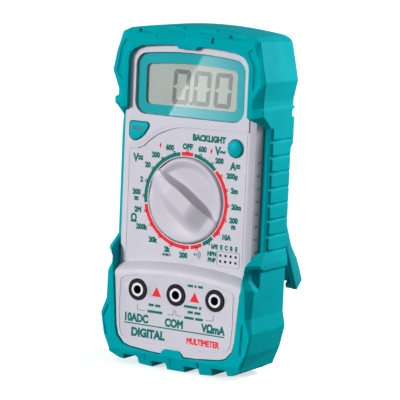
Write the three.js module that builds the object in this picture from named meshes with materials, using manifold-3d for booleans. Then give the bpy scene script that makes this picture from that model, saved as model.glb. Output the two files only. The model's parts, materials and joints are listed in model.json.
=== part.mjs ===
// Digital multimeter in a rubber holster, with a folding stand at its back.
// Millimetres, +X to the user's right, +Y away from the user, +Z up. The parts are placed about the
// centre of the dial, and the whole meter is then raised onto the foot ribs under its holster.
import * as THREE from 'three';
import { mergeVertices } from 'three/addons/utils/BufferGeometryUtils.js';
import Module from 'manifold-3d';

const wasm = await Module();
wasm.setup();

// ---- Driving dimensions, about the centre of the dial ----
const GAP = 0.3; // clearance between pieces that touch
const FOOT_LEVEL = -72.5; // the flat that the meter stands on
const MID_DEPTH = 11; // the middle of the meter, front to back
const END_RADIUS = 175; // the bow of the top and bottom ends

const CASE_HALF_WIDTH = 33;
const CASE_TOP = 69;
const CASE_BOTTOM = -68.5;
const CASE_CORNER = 7;
const CASE_BACK = 22.2;
const CASE_WALL = 2;
const PARTING = 12; // the joint between the front and the rear case
const PANEL_HALF_WIDTH = 29.6; // the flat of the dial panel, inside its bevel
const BEVEL_DEPTH = 3.5;
const DISPLAY_LEVEL = -0.55; // the display end stands proud of the dial panel
const JACK_LEVEL = -4.55; // the jack end stands further out
const BACK_STEP = 18.3; // the back narrows here to leave room for the stand's flanges
const BACK_HALF_WIDTH = 29;

const HOLSTER_SIDE = 36.2;
const HOLSTER_TOP_FRONT = -2.8;
const HOLSTER_TOP_BACK = 26.5;
const HOLSTER_LOW_FRONT = -5.3;
const HOLSTER_LOW_BACK = 24.6;
const HOLSTER_WAIST_FRONT = 4.8;
const HOLSTER_CROWN = 73.3;
const HOLSTER_BASE = -72.8;
const FLARE_HALF_WIDTH = 37.2;
const GRIP_GROOVES = 8;
const GRIP_PITCH = 6.6;

const PCB_FRONT = 5.2;
const PCB_BACK = 6.8;

const DIAL_HOLE = 18.5;
const KNOB_RADIUS = 18.1;
const KNOB_FLANGE = 20;
const KNOB_CREST = -4.4; // front of the knob's grip bar
const KNOB_ANGLE = -306; // degrees anticlockwise from straight up: the 20 V position
const DETENTS = 20;

const WINDOW_HALF_WIDTH = 26.3;
const WINDOW_LOW = 35;
const WINDOW_HIGH = 61.7;
const LCD_HALF_WIDTH = 22.1;
const LCD_LOW = 39;
const LCD_HIGH = 57.3;

const JACK_PITCH = 19;
const JACK_LEVEL_Z = -39.6;
const JACK_BORE = 2;
const JACK_END = 2.6;

const STAND_AXIS_Y = 22;
const STAND_AXIS_Z = 4;
const STAND_ANGLE = 29; // how far the stand is open, from flat against the back
const STAND_HALF_WIDTH = 32;
const STAND_FLANGE = 2.4;
const STAND_LENGTH = 47.9;
const STAND_PIN = 1.2;
const GUSSET_START = 26.6; // the stand's corner gussets run from here out to its flanges

const SCREW_POSTS = [[-26, 63.5], [26, 63.5], [-26, -33], [26, -33]];
const PCB_POSTS = [[-27, -23], [27.5, -10], [0, 27]];
const COVER_LOW = -65.2;
const COVER_HIGH = -38.2;
const COVER_HALF_WIDTH = 25;
const COVER_FRONT = 20.2;
const COVER_SCREW_Z = -34.9;
const BUTTON_TRAVEL = 0.8;

// ---- Materials ----
function finish(color, roughness, metalness = 0, opacity = 1) {
  return new THREE.MeshStandardMaterial({ color, roughness, metalness, opacity, transparent: opacity < 1 });
}

const RUBBER = finish(0x07a0a5, 0.55);
const TEAL_PLASTIC = finish(0x0a9aa0, 0.4);
const CASE_PLASTIC = finish(0xccc9d4, 0.5);
const KNOB_PLASTIC = finish(0xd2d0d2, 0.45);
const BLACK_PLASTIC = finish(0x1c1d20, 0.45);
const CLEAR = finish(0xe8f2f0, 0.05, 0, 0.3);
const LCD_GREY = finish(0xaab2aa, 0.3);
const BOARD_GREEN = finish(0x1f6b3a, 0.5);
const STEEL = finish(0xb9bcc0, 0.3, 1);
const BRASS = finish(0xc9a75a, 0.3, 1);
const CERAMIC = finish(0xe9e4d6, 0.5);
const RED_PLASTIC = finish(0xc8272d, 0.4);
const BATTERY_WRAP = finish(0x3a4654, 0.35, 0.3);

// ---- Solids ----
function solid(geometry) {
  const plain = geometry.clone();
  plain.deleteAttribute('normal');
  plain.deleteAttribute('uv');
  const merged = mergeVertices(plain, 1e-4);
  return new wasm.Manifold(new wasm.Mesh({
    numProp: 3,
    vertProperties: new Float32Array(merged.attributes.position.array),
    triVerts: new Uint32Array(merged.index.array),
  }));
}

function toGeometry(manifold) {
  const mesh = manifold.getMesh();
  const geometry = new THREE.BufferGeometry();
  geometry.setAttribute('position', new THREE.BufferAttribute(mesh.vertProperties, 3));
  geometry.setIndex(new THREE.BufferAttribute(mesh.triVerts, 1));
  geometry.computeVertexNormals();
  return geometry;
}

function joined(solids) {
  return solids.reduce((whole, next) => whole.add(next));
}

function toShape(points) {
  return new THREE.Shape(points.map(([a, b]) => new THREE.Vector2(a, b)));
}

// A plate whose outline lies in X and Z, between two depths, with chamfered edges front and back.
function slab(outline, front, back, chamfer = 0) {
  const geometry = new THREE.ExtrudeGeometry(toShape(outline), {
    depth: back - front - 2 * chamfer,
    bevelEnabled: chamfer > 0,
    bevelSize: chamfer,
    bevelOffset: -chamfer,
    bevelThickness: chamfer,
    bevelSegments: 1,
  });
  geometry.rotateX(Math.PI / 2);
  geometry.translate(0, back - chamfer, 0);
  return solid(geometry);
}

// A plate whose front edge alone is bevelled: run is how far in, rise how deep.
function bevelledSlab(outline, front, back, run, rise) {
  const geometry = new THREE.ExtrudeGeometry(toShape(outline), {
    depth: back - front,
    bevelSize: run,
    bevelOffset: -run,
    bevelThickness: rise,
    bevelSegments: 2,
  });
  geometry.rotateX(Math.PI / 2);
  geometry.translate(0, back + rise, 0);
  return solid(geometry).intersect(block(-100, 100, front, back, -100, 100));
}

// A prism whose section lies in Y and Z, between two values of X.
function crossPrism(section, left, right) {
  const geometry = new THREE.ExtrudeGeometry(toShape(section), { depth: right - left, bevelEnabled: false });
  const toWorld = new THREE.Matrix4().makeBasis(
    new THREE.Vector3(0, 1, 0),
    new THREE.Vector3(0, 0, 1),
    new THREE.Vector3(1, 0, 0),
  );
  geometry.applyMatrix4(toWorld);
  geometry.translate(left, 0, 0);
  return solid(geometry);
}

function block(left, right, front, back, low, high) {
  const geometry = new THREE.BoxGeometry(right - left, back - front, high - low);
  geometry.translate((left + right) / 2, (front + back) / 2, (low + high) / 2);
  return solid(geometry);
}

// A round bar along Y.
function rod(radius, front, back, x = 0, z = 0, sides = 16) {
  const geometry = new THREE.CylinderGeometry(radius, radius, back - front, sides);
  geometry.translate(x, (front + back) / 2, z);
  return solid(geometry);
}

// A round bar along X.
function crossRod(radius, left, right, y, z, sides = 16) {
  const geometry = new THREE.CylinderGeometry(radius, radius, right - left, sides);
  geometry.rotateZ(Math.PI / 2);
  geometry.translate((left + right) / 2, y, z);
  return solid(geometry);
}

function ring(outer, inner, front, back, x, z, sides = 24) {
  return rod(outer, front, back, x, z, sides).subtract(rod(inner, front - 1, back + 1, x, z, sides));
}

function wire(points, radius, steps) {
  const path = new THREE.CatmullRomCurve3(points.map((p) => new THREE.Vector3(...p)));
  const section = new THREE.Shape();
  section.absarc(0, 0, radius, 0, 2 * Math.PI);
  return new THREE.ExtrudeGeometry(section, { steps, extrudePath: path, curveSegments: 4 });
}

// Triangles across a ring that has no hollows, fanned from its first point.
function cap(ring) {
  return ring.slice(2).map((_, i) => [0, i + 1, i + 2]);
}

// A closed skin over rings of the same number of points.
function skinned(rings) {
  const count = rings[0].length;
  const last = (rings.length - 1) * count;
  const triangles = [];
  for (let level = 0; level + 1 < rings.length; level += 1) {
    for (let i = 0; i < count; i += 1) {
      const a = level * count + i;
      const b = level * count + ((i + 1) % count);
      triangles.push([a, a + count, b], [b, a + count, b + count]);
    }
  }
  const [start, end] = [rings[0], rings[rings.length - 1]].map((ring) => cap(ring));
  triangles.push(...start, ...end.map(([a, b, c]) => [last + a, last + c, last + b]));
  const geometry = new THREE.BufferGeometry();
  geometry.setAttribute('position', new THREE.Float32BufferAttribute(rings.flat(2), 3));
  geometry.setIndex(triangles.flat());
  return solid(geometry);
}

// A skin through mirrored cross-sections, one below the other.
function stacked(levels) {
  return skinned(levels.map(([z, half]) => {
    const right = half.map(([x, y]) => [x, y, z]);
    const left = half.map(([x, y]) => [-x, y, z]).reverse();
    return [...right, ...left];
  }));
}

// ---- Outlines in X and Z ----
function mirrored(rightHalf) {
  const leftHalf = rightHalf.filter(([x]) => x > 0).map(([x, z]) => [-x, z]).reverse();
  return [...rightHalf, ...leftHalf];
}

function bowedEnd(apex, halfWidth, side, points = 5) {
  return Array.from({ length: points }, (_, i) => {
    const x = (halfWidth * i) / (points - 1);
    const sagitta = END_RADIUS - Math.sqrt(END_RADIUS * END_RADIUS - x * x);
    return [x, apex - side * sagitta];
  });
}

function cornerArc(x, z, radius, from, points = 4) {
  return Array.from({ length: points }, (_, i) => {
    const angle = from - ((Math.PI / 2) * (i + 1)) / (points + 1);
    return [x + radius * Math.cos(angle), z + radius * Math.sin(angle)];
  });
}

function bowedOutline(halfWidth, high, low, corner, flatBottom = false) {
  const top = bowedEnd(high, halfWidth - corner, 1);
  const flat = [[0, low], [halfWidth - corner, low]];
  const bottom = flatBottom ? flat : bowedEnd(low, halfWidth - corner, -1);
  const topCorner = top[top.length - 1][1] - corner;
  const bottomCorner = bottom[bottom.length - 1][1] + corner;
  return mirrored([
    ...top,
    ...cornerArc(halfWidth - corner, topCorner, corner, Math.PI / 2),
    [halfWidth, topCorner],
    [halfWidth, bottomCorner],
    ...cornerArc(halfWidth - corner, bottomCorner, corner, 0),
    ...bottom.reverse(),
  ]);
}

function caseOutline(grow = 0) {
  return bowedOutline(CASE_HALF_WIDTH + grow, CASE_TOP + grow, CASE_BOTTOM - grow, CASE_CORNER + grow);
}

function windowOutline(grow = 0) {
  return bowedOutline(WINDOW_HALF_WIDTH + grow, WINDOW_HIGH + grow, WINDOW_LOW - grow, 5 + grow, true);
}

function lcdOutline(grow = 0) {
  return bowedOutline(LCD_HALF_WIDTH + grow, LCD_HIGH + grow, LCD_LOW - grow, 2 + grow, true);
}

// The display end of the panel, whose lower edge dips under the hold key.
function displayOutline(grow = 0) {
  const edge = [[-24.4, 20], [-21.4, 21.4], [-18.8, 23.9], [-15.4, 26.4], [-11.8, 28.2], [-8.2, 29.6],
    [-4.4, 30.5], [5.3, 31]];
  const half = 29.2 + grow;
  const top = bowedEnd(64.4 + grow, 24.2, 1);
  return [
    [-half, 19.6 - grow],
    ...edge.map(([x, z]) => [x, z - grow]),
    [half, 31.2 - grow],
    [half, 59.4],
    ...[...top].reverse(),
    ...top.slice(1).map(([x, z]) => [-x, z]),
    [-half, 59.4],
  ];
}

// The jack end of the panel, under a bowed upper edge.
function jackOutline(high, grow) {
  return mirrored([
    ...bowedEnd(high, 29, 1, 7),
    [31 + grow, high - 3.2],
    [30.5 + grow, -36],
    [29 + grow, -56],
    [28 + grow, -60 - grow],
    [25 + grow, -63.3 - grow],
    ...bowedEnd(-65.6 - grow, 22, -1, 3).reverse(),
  ]);
}

// A leaf: straight on the left and along the top, bowed on its lower right.
function holdOutline(grow = 0) {
  const leaf = [
    [-28.7, 25.6], [-28.7, 30.2], [-28.3, 30.9], [-27.4, 31.3], [-20.2, 31.3], [-19.3, 30.8], [-19, 30],
    [-19.4, 28.7], [-21.1, 26.3], [-22.7, 24.8], [-24.3, 23.8], [-26, 23.3], [-27.4, 23.8], [-28.3, 24.6],
  ];
  const [middleX, middleZ] = [-24.2, 27.9];
  return leaf.map(([x, z]) => {
    const reach = Math.hypot(x - middleX, z - middleZ);
    return [x + (grow * (x - middleX)) / reach, z + (grow * (z - middleZ)) / reach];
  });
}

// ---- Front case ----
function caseEnvelope(grow) {
  const tub = bevelledSlab(
    caseOutline(grow), -grow, CASE_BACK + grow, CASE_HALF_WIDTH - PANEL_HALF_WIDTH, BEVEL_DEPTH);
  const display = slab(displayOutline(grow), DISPLAY_LEVEL - grow, 3);
  return joined([tub, display, jackEnd(grow)]);
}

// The jack end rises from the dial panel in a hollow sweep, up to a rounded ridge.
function jackEnd(grow) {
  const sweep = [
    [3, -26.4],
    [-grow, -26.9],
    [-0.9 - grow, -27.2],
    [-2.6 - grow, -28.3],
    [JACK_LEVEL - grow + 0.4, -29.5],
    [JACK_LEVEL - grow, -30.4],
  ];
  return skinned(sweep.map(([y, high]) => jackOutline(high + grow, grow).map(([x, z]) => [x, y, z])));
}

function screwPost(x, z, front, back, radius, bore) {
  return ring(radius, bore, front, back, x, z, 12);
}

function detentRing() {
  const notches = Array.from({ length: 2 * DETENTS }, (_, i) => {
    const radius = i % 2 ? 20.5 : 21.1;
    const angle = (Math.PI * i) / DETENTS;
    return [radius * Math.cos(angle), radius * Math.sin(angle)];
  });
  return rod(22.2, CASE_WALL - 0.2, 4.6, 0, 0, 32).subtract(slab(notches, CASE_WALL, 6));
}

function frontCase() {
  const shell = caseEnvelope(0)
    .subtract(block(-100, 100, PARTING, 100, -100, 100))
    .subtract(slab(bowedOutline(31, 67, -66.5, 5), CASE_WALL, 20))
    .subtract(block(-27, 27, JACK_LEVEL + CASE_WALL, 10, -61, -33));
  const windowLedge = slab(windowOutline(1.2), 1.5, 3.1);
  const posts = [
    ...SCREW_POSTS.map(([x, z]) => screwPost(x, z, CASE_WALL - 0.2, PARTING, 2.6, 1.5)),
    ...PCB_POSTS.map(([x, z]) => screwPost(x, z, CASE_WALL - 0.2, PCB_FRONT - GAP, 2.2, 1.3)),
  ];
  const openings = [
    slab(windowOutline(GAP), -5, 1.85),
    slab(bowedOutline(24.9, 60.4, 36.2, 1, true), -5, 8),
    rod(DIAL_HOLE, -5, CASE_WALL + 0.5, 0, 0, 48),
    slab(holdOutline(0.4), -5, 5),
    rod(4, -5, 5, 23.1, 24.1, 24),
    block(16.7, 27.3, -5, 5, -25.7, -19.3),
    ...jackPositions().map((x) => rod(4.75, -10, 5, x, JACK_LEVEL_Z, 24)),
  ];
  const whole = joined([shell, windowLedge, detentRing(), ...posts]);
  return whole.subtract(joined(openings));
}

// ---- Rear case and battery cover ----
function coverOutline(grow) {
  return bowedOutline(COVER_HALF_WIDTH + grow, COVER_HIGH + grow, COVER_LOW - grow, 2);
}

function rearCase() {
  const front = PARTING + GAP;
  const wide = slab(caseOutline(), front, BACK_STEP);
  const narrow = slab(bowedOutline(BACK_HALF_WIDTH, 67, -68, 5), front, CASE_BACK, 0.8);
  const hollowWide = slab(bowedOutline(31, 67, -66.5, 5), front - 1, BACK_STEP - 1.8);
  const hollowNarrow = slab(bowedOutline(27.2, 65.2, -66.4, 3), front - 1, CASE_BACK - 1.8);
  const posts = SCREW_POSTS.map(([x, z]) => rod(3, front, CASE_BACK - 1, x, z, 12));
  const coverPost = rod(2.8, front + 2, COVER_FRONT - GAP, 0, COVER_SCREW_Z, 12);
  const bridge = block(-27.5, 27.5, CASE_BACK - 5, CASE_BACK - 1, -37.7, -36.2);
  const gussetTop = STAND_AXIS_Z - STAND_LENGTH + 3.2;
  const gussetWalls = [-1, 1].map((side) =>
    block(side * 26.3 - 1.7, side * 26.3 + 1.7, 18.1, 21, gussetTop - 5.2, gussetTop + 1));
  const gussetPockets = [-1, 1].map((side) =>
    block(side * 28.2 - 2, side * 28.2 + 2, 18.9, 30, gussetTop - 3.9, gussetTop + 0.3));
  const bores = [
    ...SCREW_POSTS.map(([x, z]) => rod(1.5, 5, 30, x, z, 12)),
    ...SCREW_POSTS.map(([x, z]) => rod(2.6, CASE_BACK - 1.5, 30, x, z, 12)),
    rod(1.5, front + 1, 30, 0, COVER_SCREW_Z, 12),
    slab(coverOutline(GAP), COVER_FRONT - GAP, 30),
    block(-5 - GAP, 5 + GAP, COVER_FRONT - GAP, 30, -40, -31.7),
  ];
  return joined([wide, narrow])
    .subtract(joined([hollowWide, hollowNarrow]))
    .add(joined([...posts, coverPost, bridge, ...gussetWalls]))
    .subtract(joined([...bores, ...gussetPockets]));
}

function batteryCover() {
  const plate = slab(coverOutline(0), COVER_FRONT, CASE_BACK, 0.3);
  const tongue = block(-5, 5, COVER_FRONT, CASE_BACK, -40, -32);
  const screwHole = rod(1.5, 10, 30, 0, COVER_SCREW_Z, 12).add(rod(2.4, 21, 30, 0, COVER_SCREW_Z, 12));
  const grips = Array.from({ length: 4 }, (_, i) =>
    block(-9, 9, CASE_BACK - 0.5, CASE_BACK + 1, -60 + 2.4 * i, -59 + 2.4 * i));
  return plate.add(tongue).subtract(joined([screwHole, ...grips]));
}

// ---- Holster ----
// The rubber's cross-section at one height: the front face out to a chamfer, the side, a chamfer, the back.
function section(front, faceX, edgeX, edgeY, backX, backY, rearX, rear) {
  return [[faceX, front], [edgeX, edgeY], [backX, backY], [rearX, rear]];
}

function holsterLevels() {
  const side = HOLSTER_SIDE;
  const waist = section(HOLSTER_WAIST_FRONT, side - 0.8, side, HOLSTER_WAIST_FRONT + 0.6,
    side, HOLSTER_LOW_BACK - 1.2, side - 1.2, HOLSTER_LOW_BACK);
  const top = HOLSTER_TOP_FRONT;
  const low = HOLSTER_LOW_FRONT;
  const ridge = [HOLSTER_TOP_BACK - 1.2, side - 1.2, HOLSTER_TOP_BACK];
  const valley = [HOLSTER_LOW_BACK - 1.2, side - 1.2, HOLSTER_LOW_BACK];
  const upperLip = [HOLSTER_TOP_FRONT, 31.6, side, -1.4];
  return [
    [84, section(top, 30.6, 32.6, -1.2, 33, 24, 31.5, HOLSTER_TOP_BACK - 1)],
    [68.4, section(top, 31.2, 33.4, -1.4, 34, 24.6, 32, HOLSTER_TOP_BACK)],
    [60, section(top, 33.4, 35.5, -2.4, 35.6, 25.2, 34, HOLSTER_TOP_BACK)],
    [52.4, section(top, 35.1, FLARE_HALF_WIDTH, -2.2, FLARE_HALF_WIDTH, 25.3, 35.6, HOLSTER_TOP_BACK)],
    [47, section(top, 32.8, 35.9, -0.8, 36, 25.3, 34.8, HOLSTER_TOP_BACK)],
    [44.4, section(top, 31.5, 35.4, 0.05, 35.4, 25.3, 34.2, HOLSTER_TOP_BACK)],
    [41.4, section(top, 31.5, 35.4, 0.05, 35.4, 25.3, 34.2, HOLSTER_TOP_BACK)],
    [41.2, section(...upperLip, side, ...ridge)],
    [40.6, section(...upperLip, side, ...ridge)],
    [40.4, section(...upperLip, side, ...valley)],
    [38.4, section(...upperLip, side, ...valley)],
    [37.2, section(top, 31.6, side, 0.6, side, ...valley)],
    [37, section(top + 0.4, 31.7, side, 1, side, ...ridge)],
    [33, section(HOLSTER_WAIST_FRONT, 34.4, side, HOLSTER_WAIST_FRONT + 1, side, ...ridge)],
    [26, section(HOLSTER_WAIST_FRONT, side - 0.8, side, HOLSTER_WAIST_FRONT + 0.6, side, ...ridge)],
    [24, waist],
    [-18.3, waist],
    [-23.3, section(low, 32.4, FLARE_HALF_WIDTH, 0.5, FLARE_HALF_WIDTH, ...valley)],
    [-25.8, section(low, 32.4, FLARE_HALF_WIDTH, 0.5, FLARE_HALF_WIDTH, ...valley)],
    [-26.2, section(low, 32, side, 1.9, side, ...valley)],
    [-29.4, section(low, 32, side, 1.9, side, ...valley)],
    [-33.4, section(low, 33.3, side, -1.9, side, ...valley)],
    [-45.4, section(low, 33.9, 35.8, -2.8, side, ...valley)],
    [-51.6, section(low, 36.2, FLARE_HALF_WIDTH, -4.7, FLARE_HALF_WIDTH, 24, 35.6, HOLSTER_LOW_BACK + 0.6)],
    [-60.7, section(low, 34.6, 35.5, -4.6, 35.6, 23, 34, HOLSTER_LOW_BACK)],
    [-66.9, section(low, 31.6, 32.8, -4.3, 34, 21, 32, HOLSTER_LOW_BACK - 1.4)],
    [-84, section(low, 30, 31, -4.3, 31, 19, 29, HOLSTER_LOW_BACK - 4)],
  ];
}

function holsterEnds() {
  const outline = mirrored([
    ...bowedEnd(HOLSTER_CROWN, 30, 1, 7),
    [33.2, 68.8],
    [60, 60],
    [60, -60],
    [32.4, -68.2],
    ...bowedEnd(HOLSTER_BASE, 28, -1, 6).reverse(),
  ]);
  const depths = [
    [HOLSTER_TOP_FRONT - 8, 60.6],
    [HOLSTER_TOP_FRONT, 68.2],
    [3, 74],
    [HOLSTER_TOP_BACK - 3, 74],
    [HOLSTER_TOP_BACK, 69],
    [HOLSTER_TOP_BACK + 5, 60],
    [HOLSTER_TOP_BACK + 5, -60],
    [HOLSTER_LOW_BACK, -68],
    [HOLSTER_LOW_BACK - 3, -74],
    [HOLSTER_LOW_FRONT + 1.4, -74],
    [HOLSTER_LOW_FRONT, -71.4],
    [HOLSTER_LOW_FRONT - 5, -60],
  ];
  return slab(outline, -20, 40).intersect(crossPrism(depths, -60, 60));
}

function holsterOpening() {
  return mirrored([
    ...bowedEnd(65, 23, 1, 4),
    [26.8, 61.8],
    [28.6, 59.4],
    [29, 57],
    [29, 37.5],
    [33.3, 33.5],
    [33.3, -20],
    [31.4, -31.3],
    [29.3, -57],
    [28.4, -60.5],
    [25.4, -63.7],
    ...bowedEnd(-66, 22, -1, 4).reverse(),
  ]);
}

// Everything beyond a distance out to one side.
function beyond(side, distance, front, back, low, high) {
  const near = side * distance;
  const far = side * 50;
  return block(Math.min(near, far), Math.max(near, far), front, back, low, high);
}

function gripGrooves(side) {
  const across = Array.from({ length: GRIP_GROOVES }, (_, i) => {
    const z = 27.6 - GRIP_PITCH * i;
    return beyond(side, HOLSTER_SIDE - 0.6, 8, 40, z - 0.4, z + 0.4);
  });
  return [beyond(side, HOLSTER_SIDE - 1.2, 6, 8, -18.5, 33), ...across];
}

function endNotches() {
  return [8, 22].flatMap((x) => [-x, x]).flatMap((x) => [
    block(x - 3.5, x + 3.5, -20, 8, -90, -69.9 + (x * x) / 350),
    block(x - 3.5, x + 3.5, -20, 2, 70.6 - (x * x) / 350, 72.6 - (x * x) / 350),
  ]);
}

function standPinHoles() {
  return [-1, 1].map((side) => {
    const far = side * (HOLSTER_SIDE - 0.8);
    const near = side * 32;
    return crossRod(STAND_PIN + GAP, Math.min(near, far), Math.max(near, far), STAND_AXIS_Y, STAND_AXIS_Z);
  });
}

function holster() {
  const body = stacked(holsterLevels()).intersect(holsterEnds());
  const cuts = [
    caseEnvelope(GAP),
    slab(holsterOpening(), -20, 6),
    block(-33.3, 33.3, 15, 40, -46.5, 10),
    block(-60, 60, -20, 60, -90, FOOT_LEVEL),
    ...gripGrooves(-1),
    ...gripGrooves(1),
    ...endNotches(),
    ...standPinHoles(),
  ];
  return body.subtract(joined(cuts));
}

// ---- Stand: built closed about its hinge, s down along it and t out of the back ----
function tiltStand() {
  const knuckle = Array.from({ length: 7 }, (_, i) => {
    const angle = Math.PI * (1 - i / 6);
    return [3 * Math.cos(angle), 3 * Math.sin(angle)];
  });
  const flange = [
    ...knuckle,
    [2.2, -8],
    [1.1, -18],
    [0.7, -27.2],
    [2.4, -34.5],
    [2.8, -40],
    [2.5, 1.2 - STAND_LENGTH],
    [-3, -STAND_LENGTH],
  ];
  const web = [
    [0.7, -3.4],
    [2.4, -3.4],
    [2.4, 1 - STAND_LENGTH],
    [0.7, 1 - STAND_LENGTH],
  ];
  const gusset = [
    [2.2, 3.2 - STAND_LENGTH],
    [2.2, 1.3 - STAND_LENGTH],
    [-2.8, 0.1 - STAND_LENGTH],
    [-2.8, 2 - STAND_LENGTH],
  ];
  const inner = STAND_HALF_WIDTH - STAND_FLANGE;
  return joined([
    crossPrism(flange, inner, STAND_HALF_WIDTH),
    crossPrism(flange, -STAND_HALF_WIDTH, -inner),
    crossPrism(web, -inner - 0.5, inner + 0.5),
    crossPrism(gusset, GUSSET_START, inner + 0.5),
    crossPrism(gusset, -inner - 0.5, -GUSSET_START),
    crossRod(STAND_PIN, STAND_HALF_WIDTH - 1, HOLSTER_SIDE - 1.1, 0, 0),
    crossRod(STAND_PIN, 1.1 - HOLSTER_SIDE, 1 - STAND_HALF_WIDTH, 0, 0),
  ]).subtract(block(-9, 9, -10, 10, -STAND_LENGTH - 1, 3.4 - STAND_LENGTH));
}

// ---- Display ----
function displayBezel() {
  return slab(windowOutline(), 0.75, 1.5).subtract(slab(lcdOutline(), -5, 5));
}

function lcdFrame() {
  const outer = bowedOutline(27, 61.4, 35.2, 1, true);
  const inner = bowedOutline(24.9, 60.4, 36.2, 1, true);
  return slab(outer, 3.4, PCB_FRONT - GAP).subtract(slab(inner, 0, 10));
}

// ---- Dial ----
function knobBar() {
  const plan = mirrored([[0, 16.6], [1.6, 16.1], [3.4, 13], [4.4, 6], [4.4, -6], [3.6, -13], [2.2, -16.1], [0, -16.6]]);
  return slab(plan, KNOB_CREST, 0, 1.2);
}

function rotaryKnob() {
  const skirt = [[0, -2.2], [9, -2], [14, -1.5], [17.2, -0.6], [KNOB_RADIUS, 0.2], [KNOB_RADIUS, 2.4],
    [KNOB_FLANGE, 2.4], [KNOB_FLANGE, 4.6], [0, 4.6]];
  const profile = skirt.map(([radius, y]) => new THREE.Vector2(radius, -y));
  const turned = new THREE.LatheGeometry(profile.reverse(), 48);
  turned.rotateX(Math.PI);
  const pockets = [-1, 1].map((side) =>
    block(Math.min(side * 13, side * 21), Math.max(side * 13, side * 21), 2.9, 6, -1.15, 1.15));
  return solid(turned).add(knobBar()).subtract(joined(pockets));
}

function detentSpring() {
  const turns = 4;
  const coil = Array.from({ length: turns * 6 + 1 }, (_, i) => {
    const angle = (Math.PI * i) / 3;
    return [13.6 + (4.6 * i) / (turns * 6), 3.9 + 0.65 * Math.sin(angle), 0.65 * Math.cos(angle)];
  });
  const path = new THREE.CatmullRomCurve3(coil.map((p) => new THREE.Vector3(...p)));
  const section = new THREE.Shape();
  section.absarc(0, 0, 0.18, 0, 2 * Math.PI);
  return new THREE.ExtrudeGeometry(section, { steps: turns * 7, extrudePath: path, curveSegments: 3 });
}

function wiper(radius) {
  return block(-3, 3, 4.9, 5.05, radius - 0.6, radius + 0.6);
}

// ---- Buttons and their switches ----
function holdButton() {
  return slab(holdOutline(), -1.1, 2.6, 0.4).add(slab(holdOutline(0.9), 2.3, 2.9));
}

function backlightButton() {
  const crown = [[0, 1.5], [2.4, 1.35], [3.3, 0.9], [3.6, 0.3], [3.6, -2.3], [4.6, -2.3], [4.6, -2.9], [0, -2.9]];
  const cap = new THREE.LatheGeometry(crown.reverse().map(([r, h]) => new THREE.Vector2(r, h)), 24);
  cap.rotateX(Math.PI);
  cap.translate(23.1, 0, 24.1);
  return solid(cap);
}

function pushSwitch(x, z) {
  return block(x - 3, x + 3, 3.9, PCB_FRONT - GAP, z - 3, z + 3).subtract(rod(1.4, 0, 10, x, z, 12));
}

// ---- Jacks ----
function jackPositions() {
  return [-JACK_PITCH, 0, JACK_PITCH];
}

function jackInsulator(x) {
  return ring(4.45, 3.2, -5, 1.5, x, JACK_LEVEL_Z, 32);
}

function jackSocket(x) {
  const tube = rod(2.9, -4.9, JACK_END, x, JACK_LEVEL_Z, 24);
  const bore = rod(JACK_BORE, -6, JACK_END - 0.8, x, JACK_LEVEL_Z, 24);
  const arm = block(x - 1, x + 1, 1.8, JACK_END, JACK_LEVEL_Z + 2, -33.6);
  const pin = rod(0.6, 2, 7.6, x, -34.4, 8);
  return tube.add(joined([arm, pin])).subtract(bore);
}

function transistorSocket() {
  const body = block(17, 27, -0.15, PCB_FRONT - GAP, -25.4, -19.6);
  const holes = [-21, -23.5].flatMap((z) =>
    [0, 1, 2, 3].map((i) => rod(0.5, -1, 3, 18.15 + 2.45 * i, z, 6)));
  return body.subtract(joined(holes));
}

// ---- Circuit board and what is on it ----
function circuitBoard() {
  const outline = [[-30.3, -37.8], [30.3, -37.8], [30.3, 57], [23, 64.6], [-23, 64.6], [-30.3, 57]];
  const holes = [
    ...SCREW_POSTS.map(([x, z]) => rod(3.2, 0, 10, x, z, 12)),
    ...PCB_POSTS.map(([x, z]) => rod(1.5, 0, 10, x, z, 12)),
    ...jackPositions().map((x) => rod(1, 0, 10, x, -34.4, 8)),
    rod(2.2, 0, 10, 0, 0, 16),
  ];
  return slab(outline, PCB_FRONT, PCB_BACK).subtract(joined(holes));
}

function fuseClip(x) {
  const outer = block(x - 1.6, x + 1.6, PCB_BACK + GAP, 13.2, -32.4, -24.6);
  return outer.subtract(crossRod(2.9, x - 5, x + 5, 10.6, -28.5, 16))
    .subtract(block(x - 5, x + 5, 10.6, 20, -30.6, -26.4));
}

function shuntWire() {
  return wire([[-20, 7.1, -30], [-19.6, 10.5, -29.6], [-16, 12, -29.2], [-12.4, 10.5, -28.8],
    [-12, 7.1, -28.4]], 0.8, 16);
}

function chipBlob() {
  const dome = [[0, 0], [6.8, 0], [5.4, 0.9], [3, 1.6], [0, 1.8]];
  const geometry = new THREE.LatheGeometry(dome.map(([r, h]) => new THREE.Vector2(r, h)), 20);
  geometry.translate(12, PCB_BACK + GAP, 44);
  return solid(geometry);
}

function trimmer() {
  const y = PCB_BACK + GAP;
  const body = block(-19, -13, y, y + 4, 13, 19);
  return body.add(rod(2, y + 3, y + 4.5, -16, 16, 12)).subtract(block(-18, -14, y + 4.1, y + 6, 15.6, 16.4));
}

// ---- Battery ----
function battery() {
  const front = 2.9;
  const back = 19.9;
  const middle = (front + back) / 2;
  return block(-24.3, 22, front, back, -64.6, -38.1)
    .add(crossRod(2.8, 21, 24.2, middle, -45, 6))
    .add(crossRod(2.6, 21, 24.2, middle, -57.7, 16));
}

function batterySnap() {
  return block(24.5, 26.4, 5, 18, -62, -41);
}

function caseScrew(x, z) {
  return rod(1.15, 5, 21, x, z, 10).add(rod(2.2, 20.9, 22, x, z, 12))
    .subtract(block(x - 1.6, x + 1.6, 21.4, 23, z - 0.25, z + 0.25))
    .subtract(block(x - 0.25, x + 0.25, 21.4, 23, z - 1.6, z + 1.6));
}

function boardScrew(x, z) {
  return rod(1, 3, 7.5, x, z, 10).add(rod(2, PCB_BACK + GAP, 8.4, x, z, 12));
}

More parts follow.
